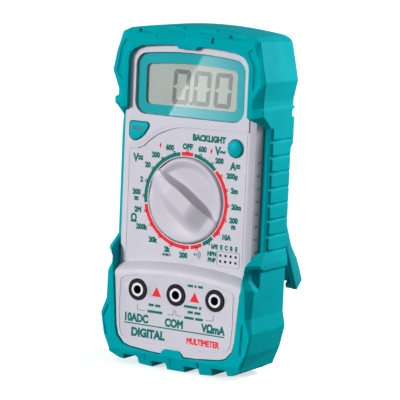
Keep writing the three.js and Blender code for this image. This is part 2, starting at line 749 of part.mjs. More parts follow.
function coverScrew() {
  return rod(1.1, 15, 21.5, 0, COVER_SCREW_Z, 10).add(rod(2, 21.3, CASE_BACK - 0.1, 0, COVER_SCREW_Z, 12));
}

// ---- Assembly ----
const meter = new THREE.Group();
meter.position.set(0, -MID_DEPTH, -FOOT_LEVEL);

function place(name, shape, material, parent = meter) {
  const geometry = shape.isBufferGeometry ? shape : toGeometry(shape);
  const mesh = new THREE.Mesh(geometry, material);
  mesh.name = name;
  parent.add(mesh);
  return mesh;
}

place('holster', holster(), RUBBER);
place('front_case', frontCase(), CASE_PLASTIC);
place('rear_case', rearCase(), CASE_PLASTIC);
place('battery_cover', batteryCover(), CASE_PLASTIC);

const stand = new THREE.Group();
stand.position.set(0, STAND_AXIS_Y, STAND_AXIS_Z);
stand.rotation.x = THREE.MathUtils.degToRad(STAND_ANGLE);
meter.add(stand);
place('tilt_stand', tiltStand(), TEAL_PLASTIC, stand);

place('display_window', slab(windowOutline(), -0.45, 0.45, 0.15), CLEAR);
place('display_bezel', displayBezel(), TEAL_PLASTIC);
place('lcd_glass', block(-24.5, 24.5, 1.8, 3.6, 36.6, 58.2), LCD_GREY);
place('lcd_frame', lcdFrame(), BLACK_PLASTIC);
place('backlight_panel', block(-24, 24, 3.9, PCB_FRONT - GAP, 40.5, 58), CERAMIC);
place('zebra_strip', block(-22, 22, 3.9, PCB_FRONT - GAP, 37, 39.4), RUBBER);

const dial = new THREE.Group();
dial.rotation.y = THREE.MathUtils.degToRad(-KNOB_ANGLE);
meter.add(dial);
place('rotary_knob', rotaryKnob(), KNOB_PLASTIC, dial);
[6, 10, 14].forEach((radius, i) => place(`wiper_contact_${i + 1}`, wiper(radius), BRASS, dial));
[['left', Math.PI], ['right', 0]].forEach(([side, turn]) => {
  const half = new THREE.Group();
  half.rotation.y = turn;
  dial.add(half);
  const ball = new THREE.SphereGeometry(0.85, 12, 8);
  ball.translate(19.4, 3.9, 0);
  place(`detent_ball_${side}`, solid(ball), STEEL, half);
  place(`detent_spring_${side}`, solid(detentSpring()), STEEL, half);
});

place('hold_button', holdButton(), TEAL_PLASTIC);
place('backlight_button', backlightButton(), TEAL_PLASTIC);
[['hold', -24, 27], ['backlight', 23.1, 24.1]].forEach(([name, x, z]) => {
  place(`${name}_switch`, pushSwitch(x, z), BLACK_PLASTIC);
  place(`${name}_plunger`, rod(1, 3.2, PCB_FRONT - BUTTON_TRAVEL - 0.1, x, z, 12), BLACK_PLASTIC);
});

['10a', 'com', 'vohm'].forEach((name, i) => {
  place(`jack_insulator_${name}`, jackInsulator(jackPositions()[i]), BLACK_PLASTIC);
  place(`jack_socket_${name}`, jackSocket(jackPositions()[i]), BRASS);
});
place('transistor_socket', transistorSocket(), CASE_PLASTIC);

place('circuit_board', circuitBoard(), BOARD_GREEN);
place('fuse', crossRod(2.5, 2, 22, 10.6, -28.5, 12), CLEAR);
place('fuse_clip_left', fuseClip(5), BRASS);
place('fuse_clip_right', fuseClip(19), BRASS);
place('shunt_wire', shuntWire(), BRASS);
place('buzzer', rod(10, PCB_BACK + GAP, 9.8, -14, 44, 24), BRASS);
place('chip_blob', chipBlob(), BLACK_PLASTIC);
place('trimmer', trimmer(), RED_PLASTIC);
place('capacitor_1', block(-2, 5, PCB_BACK + GAP, 14, 16, 19), RED_PLASTIC);
place('capacitor_2', block(9, 16, PCB_BACK + GAP, 14, 16, 19), RED_PLASTIC);

place('battery', battery(), BATTERY_WRAP);
place('battery_snap', batterySnap(), BLACK_PLASTIC);
place('battery_lead_red', wire([[25.4, 10, -40.5], [25.4, 10.4, -37.5], [22, 10, -35.2], [17, 9, -35],
  [12.5, 7.9, -35.2]], 0.6, 14), RED_PLASTIC);
place('battery_lead_black', wire([[25.4, 13.4, -40.5], [25.2, 14, -38], [20, 13.4, -35.6], [11, 11, -35],
  [6.5, 7.9, -35.2]], 0.6, 14), BLACK_PLASTIC);

SCREW_POSTS.forEach(([x, z], i) => place(`case_screw_${i + 1}`, caseScrew(x, z), STEEL));
PCB_POSTS.forEach(([x, z], i) => place(`board_screw_${i + 1}`, boardScrew(x, z), STEEL));
place('cover_screw', coverScrew(), STEEL);

export default meter;
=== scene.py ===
"""The looks of the digital multimeter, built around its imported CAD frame.

Sizes are in millimetres from the dial centre on the front panel: x to the right, y to the back, z up.
"""

import json
import math

import bmesh
import bpy
from mathutils import Matrix, Vector


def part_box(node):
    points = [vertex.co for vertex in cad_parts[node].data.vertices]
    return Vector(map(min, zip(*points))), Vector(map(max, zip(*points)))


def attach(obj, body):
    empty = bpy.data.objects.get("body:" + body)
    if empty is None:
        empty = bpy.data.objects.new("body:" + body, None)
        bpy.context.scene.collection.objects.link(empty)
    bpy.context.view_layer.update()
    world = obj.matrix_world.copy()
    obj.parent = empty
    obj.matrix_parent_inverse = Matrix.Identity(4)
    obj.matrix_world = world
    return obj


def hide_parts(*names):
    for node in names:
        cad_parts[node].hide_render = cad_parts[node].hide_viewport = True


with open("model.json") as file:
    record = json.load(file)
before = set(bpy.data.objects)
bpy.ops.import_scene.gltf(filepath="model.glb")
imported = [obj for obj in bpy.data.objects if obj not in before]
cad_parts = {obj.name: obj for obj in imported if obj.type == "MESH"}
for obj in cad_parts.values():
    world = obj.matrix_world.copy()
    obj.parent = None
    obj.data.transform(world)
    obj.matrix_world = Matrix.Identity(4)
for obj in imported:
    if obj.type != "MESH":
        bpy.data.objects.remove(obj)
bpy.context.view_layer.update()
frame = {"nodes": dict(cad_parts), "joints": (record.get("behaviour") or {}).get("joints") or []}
NODES = frame["nodes"]
JOINTS = {joint["name"]: joint for joint in frame["joints"]}

MM = 0.001
DIAL = Vector(JOINTS["dial_turn"]["pos_m"])
PANEL = 0.0          # front of the dial panel
JACK_PANEL = -4.55   # front of the jack panel
DISPLAY_PANEL = -0.55  # front of the display end
PROUD = 0.03         # how far printing stands off a surface
KNOB_POINTER = 306   # degrees clockwise from the top
KNOB_RADIUS = 18.1
RING_INNER, RING_OUTER = 18.9, 20.5


# ---- Places and colours ----

def at(x, y, z):
    """A point in the row frame from millimetres about the dial centre."""
    return DIAL + Vector((x, y, z)) * MM


def around_dial(radius, degrees):
    """(x, z) at a radius and a clockwise angle from the top."""
    turn = math.radians(degrees)
    return radius * math.sin(turn), radius * math.cos(turn)


def linear(red, green, blue):
    """Display colour, 0 to 255, as a linear colour."""
    def channel(value):
        share = value / 255
        return share / 12.92 if share <= 0.04045 else ((share + 0.055) / 1.055) ** 2.4
    return (channel(red), channel(green), channel(blue), 1.0)


def shade(colour, factor):
    return tuple(min(1.0, value * factor) for value in colour[:3]) + (1.0,)


# ---- Materials ----

def blank_material(name):
    material = bpy.data.materials.new("look_" + name)
    material.use_nodes = True
    tree = material.node_tree
    return material, tree, tree.nodes["Principled BSDF"]


def noise(tree, scale, detail=3.0):
    coordinates = tree.nodes.new("ShaderNodeTexCoord")
    texture = tree.nodes.new("ShaderNodeTexNoise")
    texture.inputs["Scale"].default_value = scale
    texture.inputs["Detail"].default_value = detail
    tree.links.new(coordinates.outputs["Object"], texture.inputs["Vector"])
    return texture.outputs["Fac"]


def vary_colour(tree, shader, colour, spread, scale):
    ramp = tree.nodes.new("ShaderNodeValToRGB")
    ramp.color_ramp.elements[0].position = 0.35
    ramp.color_ramp.elements[1].position = 0.65
    ramp.color_ramp.elements[0].color = shade(colour, 1 - spread)
    ramp.color_ramp.elements[1].color = shade(colour, 1 + spread)
    tree.links.new(noise(tree, scale), ramp.inputs["Fac"])
    tree.links.new(ramp.outputs["Color"], shader.inputs["Base Color"])


def vary_roughness(tree, shader, roughness, spread, scale):
    span = tree.nodes.new("ShaderNodeMapRange")
    span.inputs["From Min"].default_value = 0.3
    span.inputs["From Max"].default_value = 0.7
    span.inputs["To Min"].default_value = roughness - spread
    span.inputs["To Max"].default_value = roughness + spread
    tree.links.new(noise(tree, scale), span.inputs["Value"])
    tree.links.new(span.outputs["Result"], shader.inputs["Roughness"])


def add_grain(tree, shader, scale, depth_mm):
    bump = tree.nodes.new("ShaderNodeBump")
    bump.inputs["Strength"].default_value = 1.0
    bump.inputs["Distance"].default_value = depth_mm * MM
    tree.links.new(noise(tree, scale, 2.0), bump.inputs["Height"])
    tree.links.new(bump.outputs["Normal"], shader.inputs["Normal"])


def moulded(name, colour, roughness=0.45, spread=0.03, grain=0.02, grain_scale=2600, specular=0.4, tint=None):
    """A moulded plastic or rubber with a fine surface grain."""
    material, tree, shader = blank_material(name)
    shader.inputs["Specular IOR Level"].default_value = specular
    if tint:
        shader.inputs["Specular Tint"].default_value = tint
    vary_colour(tree, shader, colour, spread, 90)
    vary_roughness(tree, shader, roughness, 0.05, 140)
    add_grain(tree, shader, grain_scale, grain)
    return material


def metal(name, colour, roughness):
    material, tree, shader = blank_material(name)
    shader.inputs["Metallic"].default_value = 1.0
    vary_colour(tree, shader, colour, 0.06, 200)
    vary_roughness(tree, shader, roughness, 0.06, 900)
    return material


def clear(name, colour, roughness):
    """Clear plastic or glass: see-through, with a mirror sheen that grows at a slant."""
    material, tree, shader = blank_material(name)
    tree.nodes.remove(shader)
    opening = tree.nodes.new("ShaderNodeBsdfTransparent")
    opening.inputs["Color"].default_value = colour
    gloss = tree.nodes.new("ShaderNodeBsdfGlossy")
    gloss.inputs["Roughness"].default_value = roughness
    slant = tree.nodes.new("ShaderNodeLayerWeight")
    steep = tree.nodes.new("ShaderNodeMath")
    steep.operation = "POWER"
    steep.inputs[1].default_value = 5
    sheen = tree.nodes.new("ShaderNodeMath")
    sheen.operation = "MULTIPLY_ADD"
    sheen.inputs[1].default_value = 0.96
    sheen.inputs[2].default_value = 0.04
    mix = tree.nodes.new("ShaderNodeMixShader")
    tree.links.new(slant.outputs["Facing"], steep.inputs[0])
    tree.links.new(steep.outputs["Value"], sheen.inputs[0])
    tree.links.new(sheen.outputs["Value"], mix.inputs["Fac"])
    tree.links.new(opening.outputs["BSDF"], mix.inputs[1])
    tree.links.new(gloss.outputs["BSDF"], mix.inputs[2])
    tree.links.new(mix.outputs["Shader"], tree.nodes["Material Output"].inputs["Surface"])
    return material


TEAL = (0.0, 0.37, 0.42, 1.0)
TEAL_SHEEN = (0.05, 0.9, 1.0, 1.0)
CASE = linear(203, 201, 212)
LOOKS = {
    "holster_rubber": moulded("holster_rubber", TEAL, 0.66, 0.04, 0.02, 2200, 0.04, TEAL_SHEEN),
    "stand_plastic": moulded("stand_plastic", shade(TEAL, 0.95), 0.42, 0.03, 0.015, 2600, 0.22, TEAL_SHEEN),
    "case_plastic": moulded("case_plastic", CASE, 0.5, 0.015, 0.012, 3200, 0.4),
    "knob_plastic": moulded("knob_plastic", linear(198, 195, 206), 0.42, 0.015, 0.01, 3200),
    "bezel_plastic": moulded("bezel_plastic", shade(TEAL, 1.02), 0.4, 0.03, 0.008, 2600, 0.22, TEAL_SHEEN),
    "black_plastic": moulded("black_plastic", linear(22, 20, 32), 0.4, 0.08, 0.01, 2600, 0.15),
    "red_plastic": moulded("red_plastic", linear(200, 30, 34), 0.4, 0.04, 0.01),
    "diffuser": moulded("diffuser", linear(236, 238, 232), 0.35, 0.01, 0.004),
    "zebra_rubber": moulded("zebra_rubber", linear(222, 150, 160), 0.6, 0.05, 0.01),
    "board": moulded("board", linear(24, 92, 52), 0.35, 0.08, 0.01),
    "battery_wrap": moulded("battery_wrap", linear(52, 56, 64), 0.32, 0.04, 0.006),
    "lcd": moulded("lcd", linear(178, 188, 182), 0.5, 0.01, 0.002, 3000, 0.2),
    "brass": metal("brass", linear(214, 178, 104), 0.3),
    "socket_metal": metal("socket_metal", linear(206, 208, 214), 0.3),
    "steel": metal("steel", linear(188, 190, 196), 0.28),
    "window_clear": clear("window_clear", (1, 1, 1, 1), 0.02),
    "fuse_glass": clear("fuse_glass", (0.94, 0.98, 0.96, 1), 0.04),
}
PRINT_TEAL = moulded("print_teal", linear(0, 116, 110), 0.5, 0.03, 0.002, 2600, 0.1)
PRINT_RED = moulded("print_red", linear(244, 40, 52), 0.5, 0.03, 0.002, 2600, 0.1)
PRINT_GREY = moulded("print_grey", linear(112, 122, 130), 0.5, 0.03, 0.002)
PRINT_LIGHT = moulded("print_light", linear(214, 211, 220), 0.5, 0.02, 0.002)
JACK_LIP = moulded("jack_lip", linear(232, 229, 238), 0.35, 0.02, 0.002)
PRINT_DARK_TEAL = moulded("print_dark_teal", linear(0, 122, 128), 0.5, 0.03, 0.002)
SEGMENT = moulded("lcd_segment", linear(108, 115, 114), 0.5, 0.02, 0.002)
# Painted shade: a dark colour for the insides of deep holes, standing in for the shade there.
PAINTED_HOLE_SHADE = moulded("painted_hole_shade", linear(30, 32, 36), 0.7, 0.1, 0.002)


# ---- Meshes ----

def scene_object(name, mesh):
    piece = bpy.data.objects.new(name, mesh)
    bpy.context.scene.collection.objects.link(piece)
    return piece


def mesh_from(name, points, faces):
    mesh = bpy.data.meshes.new(name)
    mesh.from_pydata(points, [], faces)
    mesh.update()
    return mesh


def soften(mesh, degrees=35):
    """Smooth shading with edges sharper than an angle kept crisp."""
    mesh.shade_smooth()
    mesh.set_sharp_from_angle(angle=math.radians(degrees))


def cad_shape(node, name):
    """A new piece with a node's shape: welded, and with its flat faces in one piece."""
    bm = bmesh.new()
    bm.from_mesh(NODES[node].data)
    bmesh.ops.remove_doubles(bm, verts=bm.verts, dist=1e-6)
    bmesh.ops.dissolve_limit(bm, angle_limit=math.radians(0.6), verts=bm.verts, edges=bm.edges)
    bm.verts.index_update()
    points = [vertex.co.copy() for vertex in bm.verts]
    faces = [[vertex.index for vertex in face.verts] for face in bm.faces]
    bm.free()
    return scene_object(name, mesh_from(name, points, faces))


def apply_modifiers(piece):
    graph = bpy.context.evaluated_depsgraph_get()
    mesh = bpy.data.meshes.new_from_object(piece.evaluated_get(graph))
    piece.modifiers.clear()
    piece.data = mesh


def combine(piece, other, operation):
    """Cuts, adds or keeps what another solid covers, then drops that solid."""
    boolean = piece.modifiers.new("boolean", "BOOLEAN")
    boolean.operation = operation
    boolean.solver = "MANIFOLD"
    boolean.object = other
    apply_modifiers(piece)
    bpy.data.objects.remove(other)


def cut(piece, other):
    combine(piece, other, "DIFFERENCE")


def voxelled(piece, voxel_mm, rounds, keep=1.0):
    """One even skin with every edge softly rounded."""
    remesh = piece.modifiers.new("remesh", "REMESH")
    remesh.mode = "VOXEL"
    remesh.voxel_size = voxel_mm * MM
    smooth = piece.modifiers.new("smooth", "SMOOTH")
    smooth.factor = 0.5
    smooth.iterations = rounds
    if keep < 1:
        thin = piece.modifiers.new("thin", "DECIMATE")
        thin.ratio = keep
    apply_modifiers(piece)
    piece.data.shade_smooth()


def bevelled(piece, width_mm, segments=3, degrees=32):
    """Every sharp edge rounded by a small radius."""
    bevel = piece.modifiers.new("bevel", "BEVEL")
    bevel.width = width_mm * MM
    bevel.segments = segments
    bevel.limit_method = "ANGLE"
    bevel.angle_limit = math.radians(degrees)
    bevel.use_clamp_overlap = True
    bevel.harden_normals = False
    apply_modifiers(piece)
    soften(piece.data)


def prism(outline, front, back, name="prism"):
    """A solid between two depths, from (x, z) corners."""
    count = len(outline)
    area = sum(outline[i][0] * outline[(i + 1) % count][1] - outline[(i + 1) % count][0] * outline[i][1]
               for i in range(count))
    if area < 0:
        outline = outline[::-1]
    points = [at(x, front, z) for x, z in outline] + [at(x, back, z) for x, z in outline]
    faces = [list(range(count)), list(range(2 * count - 1, count - 1, -1))]
    faces += [[i, i + count, (i + 1) % count + count, (i + 1) % count] for i in range(count)]
    return scene_object(name, mesh_from(name, points, faces))


def ribbon_outline(path, width):
    """(x, z) corners of a strip of one width along a path."""
    left, right = [], []
    for i, point in enumerate(path):
        before = path[max(i - 1, 0)]
        after = path[min(i + 1, len(path) - 1)]
        dx, dz = after[0] - before[0], after[1] - before[1]
        length = math.hypot(dx, dz)
        nx, nz = -dz / length * width / 2, dx / length * width / 2
        left.append((point[0] + nx, point[1] + nz))
        right.append((point[0] - nx, point[1] - nz))
    return left + right[::-1]


def arc(radius, start, end, steps, centre=(0, 0)):
    """(x, z) points along a clockwise arc."""
    points = []
    for i in range(steps + 1):
        x, z = around_dial(radius, start + (end - start) * i / steps)
        points.append((centre[0] + x, centre[1] + z))
    return points


def finish_piece(piece, body, material, replaces=()):
    piece.data.materials.clear()
    piece.data.materials.append(material)
    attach(piece, body)
    if replaces:
        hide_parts(*replaces)
    return piece


# ---- Holster ----

def opening_tabs(piece):
    """The small tongues of rubber over the middle of the case's top and bottom edges."""
    top = [(-8, 68), (-7, 65.4), (-4.8, 63.4), (3.4, 63.4), (5.6, 65.4), (6.6, 68)]
    combine(piece, prism(top, -2.75, -0.65), "UNION")
    bottom = [(-7.4, -68), (-5.9, -64.4), (-4.3, -63.1), (2.6, -63.1), (4.2, -64.4), (5.7, -68)]
    combine(piece, prism(bottom, -5.25, -4.6), "UNION")


def wedge(corners, name="wedge"):
    """The smallest solid round a few points."""
    bm = bmesh.new()
    for corner in corners:
        bm.verts.new(at(*corner))
    bmesh.ops.convex_hull(bm, input=bm.verts)
    bmesh.ops.recalc_face_normals(bm, faces=bm.faces)
    mesh = bpy.data.meshes.new(name)
    bm.to_mesh(mesh)
    bm.free()
    return scene_object(name, mesh)


def side_relief(piece, side):
    """The wedges at the front of the grip pads, and the stepped recess on the lower corner."""
    for i in range(8):
        z = 27.6 - 6.6 * i
        near, far = side * 34.6, side * 40
        cut(piece, wedge([(near, 7.4, z - 0.7), (near, 7.4, z + 0.7), (far, 7.4, z - 1), (far, 7.4, z + 1),
                          (side * 35.9, 13.5, z - 0.5), (side * 35.9, 13.5, z + 0.5), (far, 13.5, z - 0.6),
                          (far, 13.5, z + 0.6)]))
    near, far = side * 33.6, side * 40
    cut(piece, wedge([(near, -9, -25.2), (near, 1.4, -25.2), (near, 1.4, -30), (near, -9, -29.4),
                      (far, -9, -24.6), (far, 3.4, -24.6), (far, 3.4, -40), (far, -9, -40)]))


def holster_skin():
    piece = cad_shape("holster", "holster_skin")
    opening_tabs(piece)
    for side in (-1, 1):
        side_relief(piece, side)
    for side in (-1, 1):
        upper = [(30.8, 66), (28.4, 64.4), (31.5, 58.4), (31.4, 48.6), (34.5, 51.1), (34.6, 52.8), (32.9, 62.4)]
        cut(piece, prism([(side * x, z) for x, z in upper], -6, -2.2))
        lower = [(32.6, -47.9), (33.4, -47.9), (36, -53.4), (34, -61), (32.2, -61)]
        cut(piece, prism([(side * x, z) for x, z in lower], -9, -4.6))
    for x in (-22, -8, 8, 22):
        z = 71.6 - x * x / 350
        combine(piece, prism([(x - 3.6, z - 1.1), (x + 3.6, z - 1.1), (x + 3.6, z + 1.1), (x - 3.6, z + 1.1)],
                             0.2, 2.1), "UNION")
    for x in (-15.4, -2.2, 11.4):
        cut(piece, prism(ribbon_outline([(x, 66.4), (x, 71)], 0.7), -9, -1.2))
    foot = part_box("holster")[0]
    front = (foot.y - DIAL.y) / MM
    cut(piece, wedge([(side * 40, y, z) for side in (-1, 1)
                      for y, z in ((front - 0.1, -66.2), (front - 3, -66.2), (front - 3, -76), (front + 5, -76))]))
    for x in (-14, -1.4, 12):
        cut(piece, prism(ribbon_outline([(x, -66.6), (x, -70.4)], 0.7), -9, front + 2.2))
    voxelled(piece, 0.3, 4, 0.3)
    finish_piece(piece, "meter", LOOKS["holster_rubber"], ["holster"])


# ---- Case front ----

def engraved_lines():
    """Paths of the fine grooves in the front case: (path, width, front, back)."""
    dial_right = [(28.6, 30.6), (28.6, -25.2)]
    dial_left = [(-28.6, 19.4), (-28.6, -25.2)]
    display = [(-29.2, 20.9), (-24.6, 21.3), (-22, 22.4), (-19.6, 24.8), (-16, 27.5), (-12.2, 29.4), (-8.4, 30.8),
               (-4.4, 31.7), (5.3, 32.2), (29.2, 32.4)]
    jack_left = [(0, -32.4), (-7, -32.6), (-14, -33.1), (-20, -33.8), (-25, -34.6), (-26.9, -35.3), (-27.8, -36.8),
                 (-27.9, -50), (-27.3, -57.4), (-26.3, -59.8), (-24, -60.8), (-12.6, -61.9), (0, -62.3)]
    jack = jack_left + [(-x, z) for x, z in jack_left[::-1][1:]]
    return [
        (dial_right, 0.26, PANEL - 1, PANEL + 0.14),
        (dial_left, 0.26, PANEL - 1, PANEL + 0.14),
        (display, 0.26, DISPLAY_PANEL - 1, DISPLAY_PANEL + 0.14),
        (jack, 0.36, JACK_PANEL - 1, JACK_PANEL + 0.22),
    ]


def front_skin():
    piece = cad_shape("front_case", "front_case_skin")
    for path, width, front, back in engraved_lines():
        for start, end in zip(path, path[1:]):
            cut(piece, prism(ribbon_outline([start, end], width), front, back))
    for side in (-1, 1):
        for i in range(8):
            z = 18.8 - 5.33 * i
            outline = [(32.3, z - 0.4), (33.8, z - 0.8), (33.8, z + 0.8), (32.3, z + 0.4)]
            cut(piece, prism([(side * x, height) for x, height in outline], -1, 4.6))
    bevelled(piece, 0.3, 3)
    finish_piece(piece, "meter", LOOKS["case_plastic"], ["front_case"])


def transistor_socket_skin():
    piece = cad_shape("transistor_socket", "transistor_socket_skin")
    low, high = [(corner - DIAL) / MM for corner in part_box("transistor_socket")]
    face = [(low.x - 0.2, low.z - 0.2), (high.x + 0.2, low.z - 0.2), (high.x + 0.2, high.z + 0.2),
            (low.x - 0.2, high.z + 0.2)]
    combine(piece, prism(face, low.y + 0.03, 0.8), "UNION")
    for row in (-21.0, -23.5):
        for i in range(4):
            x = 18.15 + 2.45 * i
            cut(piece, prism([(x - 0.5, row - 0.5), (x + 0.5, row - 0.5), (x + 0.5, row + 0.5), (x - 0.5, row + 0.5)],
                             -1, 3))
    finish_piece(piece, "meter", LOOKS["case_plastic"], ["transistor_socket"])
    # Painted shade: hole faces more than 0.6 mm behind the panel get a dark colour in place of the shade inside the
    # holes.
    piece.data.materials.append(PAINTED_HOLE_SHADE)
    for polygon in piece.data.polygons:
        if (polygon.center.y - DIAL.y) / MM > 0.6:
            polygon.material_index = 1


# ---- Knob and keys ----

def knob_height(along, across):
    """How far the knob's front stands off the panel, from millimetres along and across its grip ridge."""
    def step(value, low, high):
        share = min(1.0, max(0.0, (value - low) / (high - low)))
        return share * share * (3 - 2 * share)

    radius = math.hypot(along, across)
    rim = 1.0 - 1.2 * step(radius, 17.2, KNOB_RADIUS) ** 2
    depth, shore = (1.3, 13.4) if across > 0 else (0.45, 9)
    scoop = depth * (1 - step(radius, shore, 16.8)) + 0.8 * (1 - step(abs(across), 3, 13))
    plate = rim - scoop
    taper = 2.0 * step(along, 2, 17.5) if along > 0 else 0.9 * step(-along, 6, 16)
    crest = 3.1 - taper
    height = 4.7 - 3.7 * step(along, 7, 17.6) if along > 0 else 4.7 - 4.1 * step(-along, 4, 15.6)
    wall = 1 - step(abs(across), crest, crest + (1.5 if across > 0 else 6.5))
    return plate + (max(height, rim) - plate) * wall


def knob_front():
    """A solid disc whose front carries the rim, the two scoops and the grip ridge."""
    turn = math.radians(KNOB_POINTER)
    along_x, along_z = math.sin(turn), math.cos(turn)
    radii = [KNOB_RADIUS * i / 48 for i in range(1, 49)]
    spokes = 144
    points = [at(0, -knob_height(0, 0), 0)]
    for radius in radii:
        for i in range(spokes):
            angle = 2 * math.pi * i / spokes
            along, across = radius * math.cos(angle), radius * math.sin(angle)
            x = along * along_x + across * along_z
            z = along * along_z - across * along_x
            points.append(at(x, -knob_height(along, across), z))
    rim_start = len(points) - spokes
    points += [Vector((point.x, at(0, 1.5, 0).y, point.z)) for point in points[rim_start:]]
    points.append(at(0, 1.5, 0))
    faces = [[0, 1 + i, 1 + (i + 1) % spokes] for i in range(spokes)]
    for ring in range(len(radii)):
        start = 1 + ring * spokes
        for i in range(spokes):
            j = (i + 1) % spokes
            faces.append([start + i, start + spokes + i, start + spokes + j, start + j])
    back = len(points) - 1
    faces += [[back, back - spokes + (i + 1) % spokes, back - spokes + i] for i in range(spokes)]
    piece = scene_object("knob_front", mesh_from("knob_front", points, faces))
    face_out(piece)
    return piece


def face_out(piece):
    bm = bmesh.new()
    bm.from_mesh(piece.data)
    bmesh.ops.recalc_face_normals(bm, faces=bm.faces)
    bm.to_mesh(piece.data)
    bm.free()


def knob_skin():
    piece = cad_shape("rotary_knob", "rotary_knob_skin")
    corners = [(-25, -25), (25, -25), (25, 25), (-25, 25)]
    cut(piece, prism(corners, -12, 0.9))
    combine(piece, knob_front(), "UNION")
    voxelled(piece, 0.2, 3, 0.4)
    finish_piece(piece, "dial", LOOKS["knob_plastic"], ["rotary_knob"])


def knob_mark():
    """The small raised triangle near the pointer end of the grip ridge."""
    ink = Ink()
    x, z = around_dial(13.4, KNOB_POINTER)
    outward = Vector((x, z)).normalized()
    across = Vector((outward.y, -outward.x))
    centre = Vector((x, z))
    tip = centre + outward * 1.5
    left, right = centre - outward * 0.9 + across * 1.25, centre - outward * 0.9 - across * 1.25
    level = -knob_height(13.4, 0)
    ink.shape([tuple(tip), tuple(left), tuple(right)], level + 0.25, 0.5)
    ink.piece("knob_mark", PRINT_LIGHT, "dial")


def key_skins():
    for node, body in (("hold_button", "hold_key"), ("backlight_button", "backlight_key")):
        piece = cad_shape(node, node + "_skin")
        bevelled(piece, 0.35, 4)
        finish_piece(piece, body, LOOKS["bezel_plastic"], [node])


def stand_skin():
    piece = cad_shape("tilt_stand", "tilt_stand_skin")
    bevelled(piece, 0.35, 3)
    finish_piece(piece, "stand", LOOKS["stand_plastic"], ["tilt_stand"])


# ---- Printing ----

class Ink:
    """Thin printed shapes of one colour, gathered into one piece."""

    def __init__(self):
        self.points = []
        self.faces = []

    def add(self, points, faces):
        start = len(self.points)
        self.points += points
        self.faces += [[index + start for index in face] for face in faces]

    def shape(self, outline, level, proud=PROUD):
        solid = prism(outline, level - proud, level - 0.002)
        self.add([vertex.co.copy() for vertex in solid.data.vertices],
                 [list(face.vertices) for face in solid.data.polygons])
        bpy.data.objects.remove(solid)

    def line(self, path, width, level):
        self.shape(ribbon_outline(path, width), level)

    def band(self, start, end, inner, outer, level):
        steps = max(4, int((end - start) / 3))
        self.shape(arc(outer, start, end, steps) + arc(inner, start, end, steps)[::-1], level)

    def disc(self, x, z, radius, level, proud=PROUD):
        self.shape(arc(radius, 0, 345, 23, (x, z)), level, proud)

    def text(self, words, x, z, cap, level, squeeze=0.86, weight=0.09):
        curve = bpy.data.curves.new("words", "FONT")
        curve.body = words
        curve.align_x = "CENTER"
        curve.extrude = 0.01
        curve.bevel_depth = weight
        curve.bevel_resolution = 0
        curve.resolution_u = 4
        carrier = scene_object("words", curve)
        graph = bpy.context.evaluated_depsgraph_get()
        mesh = bpy.data.meshes.new_from_object(carrier.evaluated_get(graph))
        bpy.data.objects.remove(carrier)
        size = cap / CAP_SHARE
        points = []
        for vertex in mesh.vertices:
            across, up, out = vertex.co
            depth = level - (PROUD if out > 0 else 0.002)
            height = (up - CAP_SHARE / 2) * size
            points.append(at(x + across * size * squeeze, depth, z + height))
        self.add(points, [list(face.vertices) for face in mesh.polygons])
        bpy.data.meshes.remove(mesh)

    def piece(self, name, material, body="meter"):
        made = scene_object(name, mesh_from(name, self.points, self.faces))
        return finish_piece(made, body, material)


CAP_SHARE = 0.729  # height of a capital in the built-in font, as a share of its size

# Words on the dial panel: words, x, z, height of capitals
PANEL_WORDS = [
    ("OFF", 0, 22.9, 2.3), ("600", 7.2, 22.4, 2.2), ("200", 15.6, 18.4, 2.2), ("200µ", 22.0, 12.6, 2.2),
    ("2m", 23.4, 6.6, 2.2), ("20m", 24.6, -0.1, 2.2), ("200", 23.6, -5.8, 2.2), ("m", 23.6, -8.3, 2.2),
    ("10A", 20.4, -13.2, 2.2), ("200", 0, -23.1, 2.2), ("2k", -8.2, -21.5, 2.2), ("20k", -15.4, -18.2, 2.2),
    ("200k", -21.3, -13.3, 2.2), ("2M", -23.4, -6.1, 2.2), ("200", -24.4, 1.4, 2.2), ("m", -24.4, -1.1, 2.2),
    ("2", -22.1, 6.9, 2.2), ("20", -19.3, 13.4, 2.2), ("200", -15.5, 18.0, 2.2), ("600", -8.7, 21.7, 2.2),
    ("BACKLIGHT", 10.2, 27.1, 2.5), ("V~", 15.8, 22.5, 3.4), ("A=", 23.3, 16.8, 3.2), ("V=", -24.2, 16.0, 3.4),
    ("Ω", -25.3, -9.9, 3.4), ("hFE", 15.0, -17.7, 1.8), ("E", 18.3, -17.6, 1.8), ("C", 20.7, -17.6, 1.8),
    ("B", 23.1, -17.6, 1.8), ("E", 25.5, -17.6, 1.8), ("NPN", 13.9, -20.8, 1.8), ("PNP", 13.9, -23.4, 1.8),
]
# Coloured sectors of the ring: start and end in degrees clockwise from the top
TEAL_SECTORS = [(10, 44), (136, 152), (262, 350)]
RED_SECTORS = [(-8, 8), (46, 134), (154, 170), (172, 260)]


def ring_marks(teal, red, light):
    for ink, sectors in ((teal, TEAL_SECTORS), (red, RED_SECTORS)):
        for start, end in sectors:
            ink.band(start, end, RING_INNER, RING_OUTER, PANEL)
    for index in range(20):
        degrees = 18 * index
        is_red = any(start <= degrees <= end for start, end in RED_SECTORS)
        x, z = around_dial(20.7, degrees)
        (red if is_red else teal).disc(x, z, 0.72, PANEL)
        light.disc(x, z, 0.27, PANEL, PROUD * 2)


def dial_words(teal):
    for words, x, z, cap in PANEL_WORDS:
        teal.text(words, x, z, cap, PANEL, weight=0.055 if cap > 3 else 0.075)


